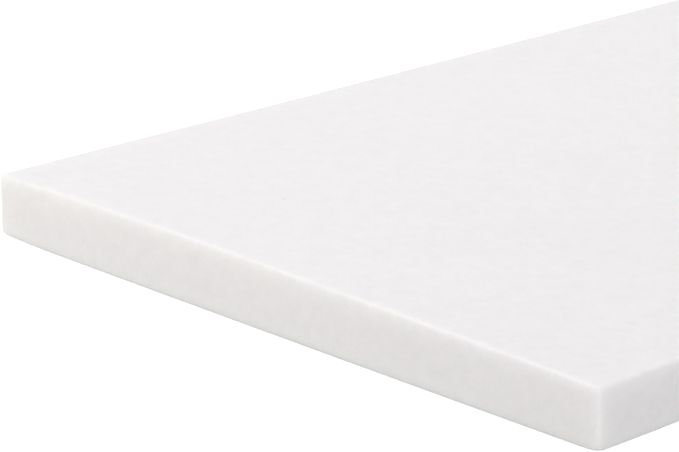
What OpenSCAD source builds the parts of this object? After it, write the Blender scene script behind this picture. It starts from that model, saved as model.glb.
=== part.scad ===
// Rubber carving block: one flat slab of soft rubber for cutting stamps and prints.
// X runs along the length, Y across the width and Z up from the face that it rests on.
// The origin is the centre of the underside. All sizes are in millimetres.

/* [Slab] */
// Length of the long sides, along X
block_length = 150; // [60:1:300]
// Width of the short sides, along Y
block_width = 100; // [40:1:220]
// Thickness from the underside to the carving face
block_thickness = 8; // [4:0.5:25]

/* [Edges] */
// Radius of the four upright corners, seen from above
corner_radius = 1.2; // [1:0.1:8]
// Radius of the rounded edge around the carving face
top_edge_radius = 0.7; // [0.2:0.05:0.9]
// Radius of the rounded edge around the underside
bottom_edge_radius = 0.3; // [0.1:0.05:0.9]

/* [Hidden] */
rubber_colour = "#f0eeee";
round_segments = 96;
straight_length = block_length - 2 * corner_radius;
straight_width = block_width - 2 * corner_radius;

// The sharp tip that an edge radius takes off the corner of a section.
// The corner of the section is at the origin, and the section lies towards +X and +Y.
module edge_tip(radius) {
    difference() {
        square(radius);
        translate([radius, radius])
            circle(r = radius, $fn = round_segments);
    }
}

// Upright section across the whole slab, centred on the Y axis and standing on the X axis.
module slab_section(section_width) {
    difference() {
        translate([-section_width / 2, 0])
            square([section_width, block_thickness]);
        for (side = [0, 1])
            mirror([side, 0])
                translate([-section_width / 2, 0]) {
                    edge_tip(bottom_edge_radius);
                    translate([0, block_thickness])
                        mirror([0, 1])
                            edge_tip(top_edge_radius);
                }
    }
}

// One upright corner: the same section, turned a quarter round the corner's centre.
module corner_quarter() {
    rotate_extrude(angle = 90, $fn = round_segments)
        intersection() {
            slab_section(2 * corner_radius);
            square([corner_radius, block_thickness]);
        }
}

// The middle of the slab between the rounded ends, full width.
module long_body() {
    rotate([90, 0, 90])
        linear_extrude(height = straight_length, center = true)
            slab_section(block_width);
}

// The middle of the slab between the rounded long sides, full length.
module cross_body() {
    rotate([90, 0, 0])
        linear_extrude(height = straight_width, center = true)
            slab_section(block_length);
}

module carving_block() {
    color(rubber_colour)
        union() {
            long_body();
            cross_body();
            for (flip_x = [0, 1])
                for (flip_y = [0, 1])
                    mirror([flip_x, 0, 0])
                        mirror([0, flip_y, 0])
                            translate([straight_length / 2, straight_width / 2, 0])
                                corner_quarter();
        }
}

carving_block();
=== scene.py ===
"""Rubber carving block: one soft white slab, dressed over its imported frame.

The slab lies on its underside, with X along its long sides, Y along its short sides and Z up.
Lengths in the classes are millimetres, and MM turns them into the metres that Blender works in.
Angles there are degrees.
"""

import logging
import math
from dataclasses import dataclass, field
from enum import Enum
from typing import Union

import bmesh
import bpy
from mathutils import Matrix, Vector, noise


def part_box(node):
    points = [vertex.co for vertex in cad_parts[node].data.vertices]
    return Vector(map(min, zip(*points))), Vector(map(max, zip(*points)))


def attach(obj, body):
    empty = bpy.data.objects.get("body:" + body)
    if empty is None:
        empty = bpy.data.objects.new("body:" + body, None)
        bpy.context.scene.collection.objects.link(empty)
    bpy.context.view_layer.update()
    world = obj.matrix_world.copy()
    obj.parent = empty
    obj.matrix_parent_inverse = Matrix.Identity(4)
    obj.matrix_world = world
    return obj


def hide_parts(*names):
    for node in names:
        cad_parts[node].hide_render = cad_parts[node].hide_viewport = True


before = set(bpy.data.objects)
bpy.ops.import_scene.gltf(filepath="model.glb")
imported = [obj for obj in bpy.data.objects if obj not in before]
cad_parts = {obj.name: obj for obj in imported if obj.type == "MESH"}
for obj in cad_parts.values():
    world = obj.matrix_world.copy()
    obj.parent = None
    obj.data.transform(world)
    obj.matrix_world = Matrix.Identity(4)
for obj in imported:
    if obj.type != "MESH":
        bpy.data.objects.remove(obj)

LOG = logging.getLogger("carving_block")
MM = 0.001
QUARTER_TURN = math.pi / 2.0

# Mesh attribute that says how much painted highlight each point takes: a paler colour that stands in
# for light on the edges, the corner tips and the foot
PAINTED_LIGHT_ATTRIBUTE = "painted_edge_light"

# Sizes of the clouds, grains and dimples in the rubber, and how much finer detail the noises have
CLOUD_SIZES = {"Fine": 0.45, "Middle": 1.8, "Broad": 26.0}
CLOUD_DETAIL = 2.0
DUST_SIZE = 0.18
DUST_DETAIL = 3.0
DIMPLE_SIZE = 0.9

# Mean of a noise texture, which is taken off so that the tone lies round zero
NOISE_MEAN = 0.5

Colour = tuple[float, float, float]
Place = tuple[float, float, float]
Feed = Union[bpy.types.NodeSocket, float, tuple[float, ...], Vector]


class LampRole(Enum):
    """What a lamp does for the picture."""

    SIDE = "side_softbox"
    BACK = "back_softbox"
    OVERHEAD = "overhead_softbox"
    VIEWER = "viewer_softbox"
    FILL = "fill_softbox"


class SocketKind(Enum):
    """Kinds of socket that the node groups here take and give."""

    VALUE = "NodeSocketFloat"
    VECTOR = "NodeSocketVector"


class NodeTable:
    """Places nodes in a tree and joins them, so that a material reads as a list of steps."""

    def __init__(self, tree: bpy.types.NodeTree) -> None:
        """Keep the tree that the nodes go into."""
        self.tree = tree

    @classmethod
    def emptied(cls, owner: Union[bpy.types.Material, bpy.types.World]) -> "NodeTable":
        """Start on the nodes of a material or a world, with none left in it.

        Args:
            owner: The material or the world.

        Returns:
            The table for its nodes.
        """
        owner.use_nodes = True
        owner.node_tree.nodes.clear()
        return cls(owner.node_tree)

    def add(self, kind: str, **settings: object) -> bpy.types.Node:
        """Add one node.

        Args:
            kind: Blender's name for the node type.
            settings: Properties of the node, by name.

        Returns:
            The new node.
        """
        node = self.tree.nodes.new(kind)
        for name, value in settings.items():
            setattr(node, name, value)
        return node

    def join(self, source: bpy.types.NodeSocket, target: bpy.types.NodeSocket) -> None:
        """Link one output to one input."""
        self.tree.links.new(source, target)

    def feed(self, target: bpy.types.NodeSocket, value: Feed) -> None:
        """Link an input to a socket, or set it to a plain value.

        Args:
            target: The input.
            value: A socket to link, or the value to set.
        """
        if isinstance(value, bpy.types.NodeSocket):
            self.join(value, target)
        else:
            target.default_value = value

    def math(self, operation: str, first: Feed, second: Feed = 0.0) -> bpy.types.NodeSocket:
        """Add one Math node.

        Args:
            operation: Blender's name for the operation.
            first: A socket to link or a number to set.
            second: A socket to link or a number to set, where the operation takes two.

        Returns:
            The node's output.
        """
        node = self.add("ShaderNodeMath", operation=operation)
        self.feed(node.inputs[0], first)
        self.feed(node.inputs[1], second)
        return node.outputs[0]

    def mix(self, factor: Feed, first: Feed, second: Feed) -> bpy.types.NodeSocket:
        """Add one colour Mix node.

        Args:
            factor: How much of the second colour there is, from 0 to 1.
            first: A socket to link or a colour to set.
            second: A socket to link or a colour to set.

        Returns:
            The mixed colour.
        """
        node = self.add("ShaderNodeMix", data_type="RGBA")
        taken = {socket.identifier: socket for socket in node.inputs}
        given = {socket.identifier: socket for socket in node.outputs}
        self.feed(taken["Factor_Float"], factor)
        self.feed(taken["A_Color"], first)
        self.feed(taken["B_Color"], second)
        return given["Result_Color"]

    def place_group(self, group: bpy.types.NodeTree, **values: Feed) -> bpy.types.NodeSocket:
        """Place a node group that has one output.

        Args:
            group: The group's tree.
            values: Values to set or sockets to link, by socket name.

        Returns:
            The group's output.
        """
        node = self.add("ShaderNodeGroup", node_tree=group)
        for name, value in values.items():
            self.feed(node.inputs[name], value)
        return node.outputs[0]


def new_group(
    name: str, inputs: dict[str, SocketKind], outputs: dict[str, SocketKind]
) -> tuple[NodeTable, bpy.types.Node, bpy.types.Node]:
    """Start a shader node group.

    Args:
        name: The group's name.
        inputs: Kind of each input socket, by name.
        outputs: Kind of each output socket, by name.

    Returns:
        The group's table, its input node and its output node.
    """
    tree = bpy.data.node_groups.new(name, "ShaderNodeTree")
    for label, kind in inputs.items():
        tree.interface.new_socket(label, in_out="INPUT", socket_type=kind.value)
    for label, kind in outputs.items():
        tree.interface.new_socket(label, in_out="OUTPUT", socket_type=kind.value)
    table = NodeTable(tree)
    return table, table.add("NodeGroupInput"), table.add("NodeGroupOutput")


def mottle_group() -> bpy.types.NodeTree:
    """Build the cloudy tone of rubber: three sizes of soft noise added round a middle of zero.

    Returns:
        The group, with the sockets Place, Fine, Middle and Broad in and Tone out.
    """
    inputs = {"Place": SocketKind.VECTOR}
    inputs.update({label: SocketKind.VALUE for label in CLOUD_SIZES})
    table, given, made = new_group("Rubber mottle", inputs, {"Tone": SocketKind.VALUE})
    total: Feed = 0.0
    for label, size in CLOUD_SIZES.items():
        cloud = table.add("ShaderNodeTexNoise", noise_dimensions="3D")
        cloud.inputs["Scale"].default_value = 1.0 / (size * MM)
        cloud.inputs["Detail"].default_value = CLOUD_DETAIL
        table.join(given.outputs["Place"], cloud.inputs["Vector"])
        centred = table.math("SUBTRACT", cloud.outputs[0], NOISE_MEAN)
        share = table.math("MULTIPLY", centred, given.outputs[label])
        total = table.math("ADD", share, total)
    table.join(total, made.inputs["Tone"])
    return table.tree


def grain_group() -> bpy.types.NodeTree:
    """Build the fine skin of rubber: a dusty grain with shallow dimples.

    Returns:
        The group, with the sockets Place, Grain and Dimples in and Height out.
    """
    table, given, made = new_group(
        "Rubber grain",
        {"Place": SocketKind.VECTOR, "Grain": SocketKind.VALUE, "Dimples": SocketKind.VALUE},
        {"Height": SocketKind.VALUE},
    )
    dust = table.add("ShaderNodeTexNoise", noise_dimensions="3D")
    dust.inputs["Scale"].default_value = 1.0 / (DUST_SIZE * MM)
    dust.inputs["Detail"].default_value = DUST_DETAIL
    table.join(given.outputs["Place"], dust.inputs["Vector"])
    pits = table.add("ShaderNodeTexVoronoi", voronoi_dimensions="3D", feature="SMOOTH_F1")
    pits.inputs["Scale"].default_value = 1.0 / (DIMPLE_SIZE * MM)
    table.join(given.outputs["Place"], pits.inputs["Vector"])
    grain = table.math("MULTIPLY", dust.outputs[0], given.outputs["Grain"])
    dimples = table.math("MULTIPLY", pits.outputs["Distance"], given.outputs["Dimples"])
    table.join(table.math("ADD", grain, dimples), made.inputs["Height"])
    return table.tree


def fleck_group() -> bpy.types.NodeTree:
    """Build one soft round fleck at a place on the surface.

    Returns:
        The group, with the sockets Place, Centre and Radius in and Mask out.
    """
    table, given, made = new_group(
        "Fleck",
        {"Place": SocketKind.VECTOR, "Centre": SocketKind.VECTOR, "Radius": SocketKind.VALUE},
        {"Mask": SocketKind.VALUE},
    )
    gap = table.add("ShaderNodeVectorMath", operation="DISTANCE")
    table.join(given.outputs["Place"], gap.inputs[0])
    table.join(given.outputs["Centre"], gap.inputs[1])
    ratio = table.math("DIVIDE", gap.outputs["Value"], given.outputs["Radius"])
    falloff = table.math("MULTIPLY", table.math("MULTIPLY", ratio, ratio), -1.0)
    table.join(table.math("EXPONENT", falloff), made.inputs["Mask"])
    return table.tree


@dataclass(frozen=True)
class Fleck:
    """A small dark mark in the carving face.

    Attributes:
        x: Its middle along the slab.
        y: Its middle across the slab.
        radius: Where it has faded to about a third.
        strength: Share of the fleck's own colour at its middle.
    """

    x: float
    y: float
    radius: float
    strength: float


@dataclass(frozen=True)
class SoftRubber:
    """Matte white rubber: a little light passes through it, and a painted highlight makes its edges
    and foot paler.

    Attributes:
        name: Name of the material.
        colour: Colour of the plain rubber.
        highlight_colour: Colour of the painted highlight at its strongest, which stands in for light
            on the edges and at the foot.
        fleck_colour: Colour of the dark marks.
        roughness: Roughness at the middle of the cloudy tone.
        roughness_per_tone: How much the roughness changes with the tone.
        glow_depth: How far light spreads inside the rubber.
        glow_colour: How far red, green and blue spread, as shares of that depth.
        fine_mottle: Strength of the smallest clouds.
        middle_mottle: Strength of the middle clouds.
        broad_mottle: Strength of the broadest clouds.
        grain_height: Height of the dusty grain.
        dimple_height: Height of the rims round the dimples.
        bump_strength: How much of that height the light shows.
    """

    name: str = "soft_white_rubber"
    colour: Colour = (0.877, 0.855, 0.868)
    # Painted highlight colour, which stands in for light on the edges and at the foot
    highlight_colour: Colour = (0.99, 0.98, 0.975)
    fleck_colour: Colour = (0.35, 0.34, 0.33)
    roughness: float = 0.55
    roughness_per_tone: float = 3.0
    glow_depth: float = 1.2
    glow_colour: Colour = (1.0, 0.93, 0.88)
    fine_mottle: float = 0.068
    middle_mottle: float = 0.08
    broad_mottle: float = 0.027
    grain_height: float = 0.02
    dimple_height: float = 0.03
    bump_strength: float = 0.5

    def material(self, flecks: dict[Fleck, Vector]) -> bpy.types.Material:
        """Build the rubber's material.

        Args:
            flecks: Each dark mark, with its place on the slab in metres.

        Returns:
            The new material.
        """
        made = bpy.data.materials.new(self.name)
        table = NodeTable.emptied(made)
        place = table.add("ShaderNodeTexCoord").outputs["Object"]
        surface = table.add("ShaderNodeBsdfPrincipled")
        output = table.add("ShaderNodeOutputMaterial")
        table.join(surface.outputs["BSDF"], output.inputs["Surface"])
        surface.inputs["Subsurface Weight"].default_value = 1.0
        surface.inputs["Subsurface Scale"].default_value = self.glow_depth * MM
        surface.inputs["Subsurface Radius"].default_value = self.glow_colour
        tone = table.place_group(
            mottle_group(),
            Place=place,
            Fine=self.fine_mottle,
            Middle=self.middle_mottle,
            Broad=self.broad_mottle,
        )
        table.join(self._colour(table, place, tone, flecks), surface.inputs["Base Color"])
        drift = table.math("MULTIPLY", tone, self.roughness_per_tone)
        table.join(table.math("ADD", drift, self.roughness), surface.inputs["Roughness"])
        height = table.place_group(
            grain_group(), Place=place, Grain=self.grain_height, Dimples=self.dimple_height
        )
        bump = table.add("ShaderNodeBump")
        bump.inputs["Distance"].default_value = MM
        bump.inputs["Strength"].default_value = self.bump_strength
        table.join(height, bump.inputs["Height"])
        table.join(bump.outputs["Normal"], surface.inputs["Normal"])
        return made

    def _colour(
        self,
        table: NodeTable,
        place: bpy.types.NodeSocket,
        tone: bpy.types.NodeSocket,
        flecks: dict[Fleck, Vector],
    ) -> bpy.types.NodeSocket:
        """Join the cloudy tone, the painted highlight on the edges and foot, and the flecks into one
        colour.

        Args:
            table: The material's nodes.
            place: Coordinates on the slab.
            tone: Cloudy tone round zero.
            flecks: Each dark mark, with its place on the slab in metres.

        Returns:
            The colour that the surface takes.
        """
        # Painted highlight: the attribute mixes in a paler colour that stands in for light on the
        # edges, corner tips and foot
        painted_light = table.add("ShaderNodeAttribute", attribute_name=PAINTED_LIGHT_ATTRIBUTE)
        highlighted = table.mix(painted_light.outputs["Fac"], (*self.colour, 1.0), (*self.highlight_colour, 1.0))
        clouded = table.add("ShaderNodeVectorMath", operation="SCALE")
        table.join(highlighted, clouded.inputs[0])
        table.join(table.math("ADD", tone, 1.0), clouded.inputs["Scale"])
        colour = clouded.outputs[0]
        group = fleck_group()
        for fleck, centre in flecks.items():
            spot = table.place_group(group, Place=place, Centre=centre, Radius=fleck.radius * MM)
            share = table.math("MULTIPLY", spot, fleck.strength)
            colour = table.mix(share, colour, (*self.fleck_colour, 1.0))
        return colour


@dataclass(frozen=True)
class EdgeTurn:
    """A softened edge: a superellipse quarter that turns from an upright side to a flat face.

    Attributes:
        reach: How far it reaches into the flat face.
        depth: How far it reaches down the side.
        power: Power of the superellipse: 2 is a plain ellipse, and more is squarer.
        steps: Count of the straight steps along it.
        crowding: How much closer the points lie next to the faces, from 0 to 1.
        tip_power: How quickly a point's nearness to the tip falls off.
    """

    reach: float
    depth: float
    power: float
    steps: int
    crowding: float = 0.75
    tip_power: float = 3.0

    def looks(self) -> list[float]:
        """Find which way the edge looks at each point, with more points next to the faces.

        Returns:
            Angles in radians from 0, where it looks sideways, to a quarter turn, where it looks up.
        """
        found = []
        for step in range(self.steps + 1):
            share = step / self.steps
            eased = share - self.crowding * math.sin(math.tau * share) / math.tau
            found.append(eased * QUARTER_TURN)
        return found

    def points(self, shorter: float = 0.0) -> list[tuple[float, float]]:
        """Find the points of the quarter, counted from its centre.

        Args:
            shorter: How much is taken off the reach and the depth.

        Returns:
            Pairs of the way out and the way up, from the side to the flat face.
        """
        reach, depth = self.reach - shorter, self.depth - shorter
        root = 1.0 / (self.power - 1.0)
        found = []
        for look in self.looks():
            # A sine both times, because it is exactly zero at the end of the turn
            out = (reach * math.sin(QUARTER_TURN - look)) ** root
            up = (depth * math.sin(look)) ** root
            size = (out**self.power + up**self.power) ** (1.0 / self.power)
            found.append((reach * out / size, depth * up / size))
        return found

    def tip(self) -> list[float]:
        """Find how near each point is to the tip, from 0 on a face to 1 half way between the faces."""
        return [math.sin(2.0 * look) ** self.tip_power for look in self.looks()]


@dataclass(frozen=True)
class Swell:
    """A place where the carving face or the underside stands a little high or low.

    Attributes:
        x: Its middle along the slab.
        y: Its middle across the slab.
        height: Height at its middle, below zero for a hollow.
        spread_x: How far it spreads along the slab.
        spread_y: How far it spreads across the slab.
    """

    x: float
    y: float
    height: float
    spread_x: float
    spread_y: float

    def lift(self, x: float, y: float) -> float:
        """Find the height that this swell adds at a place.

        Args:
            x: Place along the slab.
            y: Place across the slab.

        Returns:
            The added height.
        """
        far = ((x - self.x) / self.spread_x) ** 2 + ((y - self.y) / self.spread_y) ** 2
        return self.height * math.exp(-far)


@dataclass(frozen=True)
class PaintedEdgeLight:
    """Painted light on the sides: how much paler they are coloured next to the edges and the foot,
    standing in for the light there.

    Attributes:
        edge: Share of painted highlight just below the carving face.
        edge_fade: How far down that fades.
        foot: Share of painted light just above the underside, which lifts the contact shade there.
        foot_fade: How far up that fades.
        corner: Share of painted highlight next to an upright corner.
        corner_fade: How far along the side that fades.
        tip: Share of painted highlight at the tip of an upright corner.
        turn_power: How quickly the painted highlight goes where a side turns into a flat face.
    """

    edge: float = 0.26
    edge_fade: float = 2.0
    foot: float = 0.6
    foot_fade: float = 1.35
    corner: float = 0.34
    corner_fade: float = 1.6
    tip: float = 1.0
    turn_power: float = 3.0

    def share(self, below: float, above: float, along: float, tip: float, upright: float) -> float:
        """Find how much painted light a point of a side takes.

        Args:
            below: How far it lies below the carving face.
            above: How far it lies above the underside.
            along: How far it lies from the nearest upright corner.
            tip: How near it is to the corner's tip, from 0 to 1.
            upright: How upright the surface is there, from 0 to 1.

        Returns:
            A share from 0 to 1.
        """
        plain = 1.0 - self.edge * math.exp(-((below / self.edge_fade) ** 2))
        plain *= 1.0 - self.foot * math.exp(-((above / self.foot_fade) ** 2))
        plain *= 1.0 - self.corner * math.exp(-along / self.corner_fade)
        plain *= 1.0 - self.tip * tip
        return upright**self.turn_power * (1.0 - plain)


@dataclass(frozen=True)
class Ring:
    """One loop of points round the slab.

    Attributes:
        inset: How far it lies inside the slab's outline.
        height: How high it lies above the underside.
        upright: How upright the surface is there, from 0 on a flat face to 1 on a side.
    """

    inset: float
    height: float
    upright: float = 1.0


def finished_mesh(name: str, mesh: bmesh.types.BMesh) -> bpy.types.Mesh:
    """Turn a mesh that was being built into one that an object can hold.

    Args:
        name: The mesh's name.
        mesh: The mesh that was being built, which is freed.

    Returns:
        The new mesh.
    """
    data = bpy.data.meshes.new(name)
    mesh.to_mesh(data)
    mesh.free()
    return data


def new_object(name: str, data: bpy.types.ID) -> bpy.types.Object:
    """Make an object and put it in the scene.

    Args:
        name: The object's name.
        data: Its mesh, light or camera.

    Returns:
        The new object.
    """
    made = bpy.data.objects.new(name, data)
    bpy.context.scene.collection.objects.link(made)
    return made


@dataclass
class CarvingSlab:
    """The slab itself: flat faces, softened edges and the small unevenness of cut rubber.

    Attributes:
        node: CAD node that the slab stands for.
        body: Body that it rides on.
        slot: Name of a material slot; not used.
        piece: Name of its object.
        corner: Turn of an upright corner, seen from above.
        carving_edge: Turn from the sides onto the carving face.
        resting_edge: Turn from the sides onto the underside.
        painted_light: Painted highlight on the sides next to the edges, corners and foot, which stands
            in for light there.
        side_rings: Count of the steps up the straight part of a side.
        spacing: Distance between the grid lines of a face.
        swells: Places where the carving face is high or low.
        foot_swells: Places where the underside is raised.
        foot_lift: How far the bottom of an upright corner turns up.
        foot_spread: How far round and above the corner's bottom that fades.
        end_bow: How far the short sides bow out at their middle.
        lean: How far the carving face is shifted along Y against the underside.
        waver: How far the surface wavers, least at the underside and most at the carving face.
        waver_size: Distance between the wavers.
        waver_seed: Seed of their noise, which is never 0, because that would take the time instead.
        flecks: Dark marks in the carving face.
        half_length: Half the slab's length, from the frame.
        half_width: Half the slab's width, from the frame.
        thickness: The slab's thickness, from the frame.
        lines_x: Grid lines of a face along the slab.
        lines_y: Grid lines of a face across the slab.
    """

    node: str = "carving_block"
    body: str = "root"
    slot: str = "rubber"
    piece: str = "carving_slab"
    corner: EdgeTurn = EdgeTurn(reach=1.8, depth=1.8, power=6.0, steps=28)
    carving_edge: EdgeTurn = EdgeTurn(reach=1.2, depth=1.2, power=5.0, steps=26)
    resting_edge: EdgeTurn = EdgeTurn(reach=0.5, depth=0.5, power=3.0, steps=16)
    # Painted highlight on the sides, standing in for light at the edges and the foot
    painted_light: PaintedEdgeLight = PaintedEdgeLight()
    side_rings: int = 12
    spacing: float = 1.4
    swells: tuple[Swell, ...] = (
        Swell(x=-75.0, y=20.0, height=0.53, spread_x=48.0, spread_y=32.0),
        Swell(x=-75.0, y=-30.0, height=0.16, spread_x=30.0, spread_y=50.0),
        Swell(x=-75.0, y=-58.0, height=-0.5, spread_x=40.0, spread_y=26.0),
    )
    foot_swells: tuple[Swell, ...] = (
        Swell(x=-75.0, y=-50.0, height=0.13, spread_x=8.0, spread_y=1.5),
        Swell(x=-75.0, y=50.0, height=0.21, spread_x=3.0, spread_y=5.0),
    )
    foot_lift: float = 0.25
    foot_spread: float = 0.8
    end_bow: float = 0.2
    lean: float = 0.598
    waver: float = 0.03
    waver_size: float = 6.0
    waver_seed: int = 1
    flecks: tuple[Fleck, ...] = (
        Fleck(x=-54.4, y=18.3, radius=0.3, strength=0.2),
        Fleck(x=-55.6, y=-39.2, radius=0.65, strength=0.09),
    )
    half_length: float = field(init=False)
    half_width: float = field(init=False)
    thickness: float = field(init=False)
    lines_x: list[float] = field(init=False)
    lines_y: list[float] = field(init=False)

    def __post_init__(self) -> None:
        """Take the slab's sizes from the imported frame, and make its noise the same each run."""
        noise.seed_set(self.waver_seed)
        low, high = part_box(self.node)
        self.half_length = (high.x - low.x) / 2.0 / MM
        self.half_width = (high.y - low.y) / 2.0 / MM
        self.thickness = (high.z - low.z) / MM
        self.lines_x = self._lines(self.half_length - self.corner.reach)
        self.lines_y = self._lines(self.half_width - self.corner.reach)

    def _lines(self, half: float) -> list[float]:
        """Lay out even grid lines across a face.

        Args:
            half: Where the last line lies; the first lies at -half.

        Returns:
            The places of the lines.
        """
        count = round(2.0 * half / self.spacing)
        return [half * (2.0 * step / count - 1.0) for step in range(count + 1)]

    def _from_corner(self, x: float, y: float) -> float:
        """Find how far a place lies from the nearest upright corner, along X and Y added up."""
        return self.half_length - abs(x) + self.half_width - abs(y)

    def _settled(self, x: float, y: float, z: float) -> Vector:
        """Move a point of the plain slab to where it lies on the uneven one.

        Args:
            x: Place along the plain slab.
            y: Place across the plain slab.
            z: Height above the underside.

        Returns:
            The point's place in metres.
        """
        share = z / self.thickness
        lift = sum(swell.lift(x, y) for swell in self.swells) * share
        lift += sum(swell.lift(x, y) for swell in self.foot_swells) * (1.0 - share)
        gap = self._from_corner(x, y) / self.foot_spread
        lift += self.foot_lift * math.exp(-(gap**2) - z / self.foot_spread)
        bow = self.end_bow * (1.0 - (y / self.half_width) ** 2) * x / self.half_length
        # The slab leans about its middle height
        tilt = self.lean * (share - 0.5)
        waver = noise.noise_vector(Vector((x, y, z)) / self.waver_size) * self.waver * share
        return (Vector((x + bow, y + tilt, z + lift)) + waver) * MM

    def _rings(self) -> list[Ring]:
        """Lay out the loops from the underside, up the sides and onto the carving face.

        Returns:
            The loops in order.
        """
        low, high = self.resting_edge, self.carving_edge
        shoulder = self.thickness - high.depth
        rings = [
            Ring(low.reach - out, low.depth - down, math.cos(look))
            for (out, down), look in zip(low.points(), low.looks())
        ]
        rings.reverse()
        for step in range(1, self.side_rings):
            height = low.depth + (shoulder - low.depth) * step / self.side_rings
            rings.append(Ring(0.0, height))
        for (out, up), look in zip(high.points(), high.looks()):
            rings.append(Ring(high.reach - out, shoulder + up, math.cos(look)))
        return rings

    def _loop(self, inset: float) -> list[tuple[float, float, float]]:
        """Find the points round the slab at one inset, with how near each is to a corner's tip.

        Args:
            inset: How far the loop lies inside the slab's outline.

        Returns:
            x, y and nearness of each point, counter-clockwise from above.
        """
        reach = self.corner.reach - inset
        quarter = list(zip(self.corner.points(inset), self.corner.tip()))[1:-1]
        end_x, end_y = self.lines_x[-1], self.lines_y[-1]
        loop = [(end_x + reach, y, 0.0) for y in self.lines_y]
        loop += [(end_x + a, end_y + b, tip) for (a, b), tip in quarter]
        loop += [(x, end_y + reach, 0.0) for x in reversed(self.lines_x)]
        loop += [(-end_x - b, end_y + a, tip) for (a, b), tip in quarter]
        loop += [(-end_x - reach, y, 0.0) for y in reversed(self.lines_y)]
        loop += [(-end_x - a, -end_y - b, tip) for (a, b), tip in quarter]
        loop += [(x, -end_y - reach, 0.0) for x in self.lines_x]
        loop += [(end_x + b, -end_y - a, tip) for (a, b), tip in quarter]
        return loop

    def _face(self, mesh: bmesh.types.BMesh, ring: list[bmesh.types.BMVert], upward: bool) -> None:
        """Close one flat face with a grid that meets its last ring.

        Args:
            mesh: The mesh that is being built.
            ring: The last ring's points.
            upward: True for the carving face, False for the underside.
        """
        z = self.thickness if upward else 0.0
        grid = [[mesh.verts.new(self._settled(x, y, z)) for y in self.lines_y] for x in self.lines_x]
        # A corner of the grid meets all the points that the ring has between two sides
        repeats = self.corner.steps - 1
        rim = list(grid[-1]) + [grid[-1][-1]] * repeats
        rim += [column[-1] for column in reversed(grid)] + [grid[0][-1]] * repeats
        rim += list(reversed(grid[0])) + [grid[0][0]] * repeats
        rim += [column[0] for column in grid] + [grid[-1][0]] * repeats
        self._bridge(mesh, ring, rim, upward)
        for near, far in zip(grid, grid[1:]):
            for step in range(len(near) - 1):
                around = [near[step], far[step], far[step + 1], near[step + 1]]
                mesh.faces.new(around if upward else around[::-1])

    @staticmethod
    def _bridge(
        mesh: bmesh.types.BMesh,
        outer: list[bmesh.types.BMVert],
        inner: list[bmesh.types.BMVert],
        outward: bool,
    ) -> None:
        """Join two loops of the same count with faces.

        Args:
            mesh: The mesh that is being built.
            outer: The first loop.
            inner: The second loop, which may hold one point several times in a row.
            outward: True if the faces look away from the slab in the loops' own order.
        """
        count = len(outer)
        for step in range(count):
            after = (step + 1) % count
            around = [outer[step], outer[after], inner[after]]
            if inner[step] is not inner[after]:
                around.append(inner[step])
            mesh.faces.new(around if outward else around[::-1])

    def build(self) -> bpy.types.Object:
        """Build the slab's mesh and put it on its body.

        Returns:
            The slab's object.
        """
        mesh = bmesh.new()
        # Each point keeps its share of painted highlight, which stands in for light at the edges and
        # foot
        painted_light_layer = mesh.verts.layers.float.new(PAINTED_LIGHT_ATTRIBUTE)
        loops = []
        for ring in self._rings():
            above = ring.height
            below = self.thickness - above
            loop = []
            for x, y, tip in self._loop(ring.inset):
                point = mesh.verts.new(self._settled(x, y, ring.height))
                along = self._from_corner(x, y)
                point[painted_light_layer] = self.painted_light.share(below, above, along, tip, ring.upright)
                loop.append(point)
            loops.append(loop)
        for lower, upper in zip(loops, loops[1:]):
            self._bridge(mesh, lower, upper, True)
        self._face(mesh, loops[-1], True)
        self._face(mesh, loops[0], False)
        for face in mesh.faces:
            face.smooth = True
        slab = new_object(self.piece, finished_mesh(self.piece, mesh))
        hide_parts(self.node)
        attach(slab, self.body)
        return slab

    def dress(self, slab: bpy.types.Object, finish: SoftRubber) -> None:
        """Give the slab its rubber.

        Args:
            slab: The slab's object.
            finish: The rubber.
        """
        places = {mark: self._settled(mark.x, mark.y, self.thickness) for mark in self.flecks}
        slab.data.materials.append(finish.material(places))


def seen_as_backdrop(table: NodeTable) -> bpy.types.NodeSocket:
    """Tell rays that show the backdrop from rays that light the slab.

    Args:
        table: The nodes of the floor or the world.

    Returns:
        A value of 1 for camera, glossy and transmission rays, and 0 for the rest.
    """
    path = table.add("ShaderNodeLightPath")
    direct = table.math("MAXIMUM", path.outputs["Is Camera Ray"], path.outputs["Is Glossy Ray"])
    return table.math("MAXIMUM", direct, path.outputs["Is Transmission Ray"])


@dataclass(frozen=True)
class Floor:
    """A white table that shows as white to the camera and keeps the slab's contact shadow.

    Attributes:
        name: Name of its object.
        radius: Radius of the table top.
        gap: How far it lies below the slab, so that the two faces don't coincide.
        bounce: Share of the light that it gives back.
        shown: Light that is added where it shows as backdrop.
        segments: Count of the sides of the table top.
    """

    name: str = "floor"
    radius: float = 6000.0
    gap: float = 0.02
    bounce: float = 0.8
    shown: float = 0.8
    segments: int = 96

    def build(self) -> bpy.types.Object:
        """Build the table top.

        Returns:
            The floor's object, marked as stage.
        """
        mesh = bmesh.new()
        bmesh.ops.create_circle(mesh, cap_ends=True, segments=self.segments, radius=self.radius * MM)
        data = finished_mesh(self.name, mesh)
        data.materials.append(self.material())
        floor = new_object(self.name, data)
        floor.location.z = -self.gap * MM
        return floor

    def material(self) -> bpy.types.Material:
        """Build the floor's material: a diffuse white, lifted for rays that show it as backdrop.

        Returns:
            The new material.
        """
        made = bpy.data.materials.new("floor_white")
        table = NodeTable.emptied(made)
        matte = table.add("ShaderNodeBsdfDiffuse")
        matte.inputs["Color"].default_value = (self.bounce, self.bounce, self.bounce, 1.0)
        lift = table.add("ShaderNodeEmission")
        strength = table.math("MULTIPLY", seen_as_backdrop(table), self.shown)
        table.join(strength, lift.inputs["Strength"])
        both = table.add("ShaderNodeAddShader")
        table.join(matte.outputs[0], both.inputs[0])
        table.join(lift.outputs[0], both.inputs[1])
        output = table.add("ShaderNodeOutputMaterial")
        table.join(both.outputs[0], output.inputs["Surface"])
        return made


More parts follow.
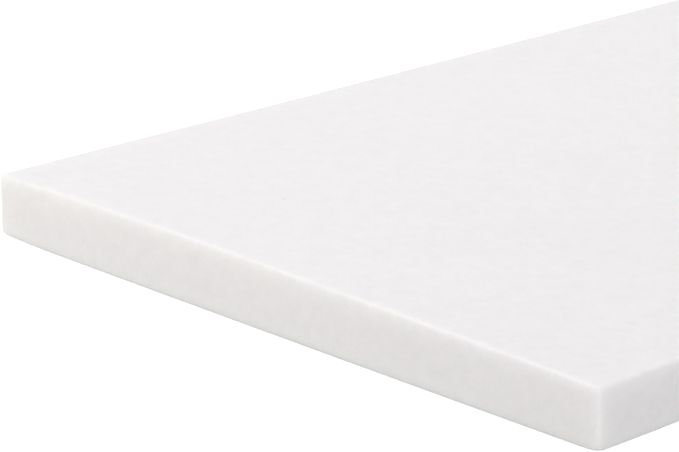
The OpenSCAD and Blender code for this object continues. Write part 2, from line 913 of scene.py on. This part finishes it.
@dataclass(frozen=True)
class Surround:
    """Even light from all round, which shows as white.

    Attributes:
        level: Strength with which it lights the slab.
        shown: Strength with which it shows as backdrop.
    """

    level: float = 0.368
    shown: float = 1.0

    def build(self) -> bpy.types.World:
        """Build the world.

        Returns:
            The new world, set on the scene.
        """
        world = bpy.data.worlds.new("white_surround")
        table = NodeTable.emptied(world)
        sky = table.add("ShaderNodeBackground")
        sky.inputs["Color"].default_value = (1.0, 1.0, 1.0, 1.0)
        extra = table.math("MULTIPLY", seen_as_backdrop(table), self.shown - self.level)
        table.join(table.math("ADD", extra, self.level), sky.inputs["Strength"])
        output = table.add("ShaderNodeOutputWorld")
        table.join(sky.outputs[0], output.inputs["Surface"])
        bpy.context.scene.world = world
        return world


def direction(azimuth: float, elevation: float) -> Vector:
    """Find the way from the slab to the camera or a lamp.

    Args:
        azimuth: Degrees round the slab; 0 stands on the -Y side and 90 on the +X side.
        elevation: Degrees above the floor.

    Returns:
        A unit vector.
    """
    turn, rise = math.radians(azimuth), math.radians(elevation)
    level = math.cos(rise)
    return Vector((math.sin(turn) * level, -math.cos(turn) * level, math.sin(rise)))


@dataclass(frozen=True)
class Softbox:
    """A square area lamp that looks at a place on the slab and doesn't show itself.

    Attributes:
        role: What the lamp does, which also names it.
        aim: Place that it looks at.
        azimuth: Where it stands round the slab, as in direction().
        elevation: How high it stands above the floor, as in direction().
        distance: Distance from the place that it looks at.
        side: Length of its sides.
        power: Power in watts.
        colour: Colour of its light.
    """

    role: LampRole
    aim: Place
    azimuth: float
    elevation: float
    distance: float
    side: float
    power: float
    colour: Colour = (1.0, 1.0, 1.0)

    def build(self) -> bpy.types.Object:
        """Build the lamp.

        Returns:
            The lamp's object.
        """
        light = bpy.data.lights.new(self.role.value, "AREA")
        light.size = self.side * MM
        light.energy = self.power
        light.color = self.colour
        lamp = new_object(self.role.value, light)
        away = direction(self.azimuth, self.elevation)
        lamp.location = Vector(self.aim) * MM + away * self.distance * MM
        lamp.rotation_euler = away.to_track_quat("Z", "Y").to_euler()
        lamp.visible_camera = False
        return lamp


@dataclass(frozen=True)
class BenchCamera:
    """A long lens a little above the bench, looking at one end of the slab.

    Attributes:
        name: Name of its object.
        aim: Place that it looks at.
        distance: Distance from that place.
        azimuth: Where it stands round the slab, as in direction().
        elevation: How high it stands above the floor, as in direction().
        roll: How far it is turned about its own line of sight.
        lens: Focal length.
        sensor: Width of the sensor.
    """

    name: str = "bench_camera"
    aim: Place = (-55.903, 7.561, 8.0)
    distance: float = 443.301
    azimuth: float = -48.104
    elevation: float = 18.423
    roll: float = 2.623
    lens: float = 186.779
    sensor: float = 36.0

    def build(self) -> bpy.types.Object:
        """Build the camera and make it the scene's own.

        Returns:
            The camera's object.
        """
        data = bpy.data.cameras.new(self.name)
        data.lens = self.lens
        data.sensor_width = self.sensor
        camera = new_object(self.name, data)
        away = direction(self.azimuth, self.elevation)
        level = away.to_track_quat("Z", "Y").to_matrix().to_4x4()
        place = Matrix.Translation((Vector(self.aim) + away * self.distance) * MM)
        camera.matrix_world = place @ level @ Matrix.Rotation(math.radians(self.roll), 4, "Z")
        bpy.context.scene.camera = camera
        return camera


@dataclass(frozen=True)
class Studio:
    """Everything round the slab.

    Attributes:
        camera: The camera.
        surround: Even light from all round.
        floor: What the slab lies on.
        lamps: The lamps.
    """

    camera: BenchCamera
    surround: Surround
    floor: Floor
    lamps: tuple[Softbox, ...]

    def build(self) -> None:
        """Build the camera and the stage, and show colours as they are written."""
        bpy.context.scene.view_settings.view_transform = "Standard"
        self.camera.build()
        self.surround.build()
        self.floor.build()
        for lamp in self.lamps:
            lamp.build()


STUDIO = Studio(
    camera=BenchCamera(),
    surround=Surround(),
    floor=Floor(),
    lamps=(
        Softbox(
            LampRole.SIDE,
            aim=(-75.0, 30.0, 5.0),
            azimuth=-125.0,
            elevation=12.0,
            distance=260.0,
            side=120.0,
            power=0.145,
            colour=(1.0, 0.98, 0.86),
        ),
        Softbox(
            LampRole.BACK,
            aim=(0.0, 20.0, 8.0),
            azimuth=150.0,
            elevation=60.0,
            distance=700.0,
            side=400.0,
            power=1.64,
        ),
        Softbox(
            LampRole.OVERHEAD,
            aim=(-40.0, 0.0, 8.0),
            azimuth=0.0,
            elevation=89.0,
            distance=900.0,
            side=500.0,
            power=1.883,
        ),
        Softbox(
            LampRole.VIEWER,
            aim=(-45.0, 0.0, 5.0),
            azimuth=-42.0,
            elevation=20.0,
            distance=1300.0,
            side=600.0,
            power=4.043,
        ),
        Softbox(
            LampRole.FILL,
            aim=(-60.0, -40.0, 5.0),
            azimuth=15.0,
            elevation=20.0,
            distance=1000.0,
            side=500.0,
            power=0.3,
        ),
    ),
)
RUBBER = SoftRubber()


def main() -> None:
    """Build the camera, the stage, the lamps and the dressed slab."""
    logging.basicConfig(level=logging.INFO, format="%(name)s: %(message)s")
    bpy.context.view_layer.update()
    STUDIO.build()
    LOG.info("studio: camera, surround, floor and %d lamps", len(STUDIO.lamps))
    part = CarvingSlab()
    slab = part.build()
    part.dress(slab, RUBBER)
    LOG.info("%s: %d faces on body %s", slab.name, len(slab.data.polygons), part.body)


if __name__ == "__main__":
    main()
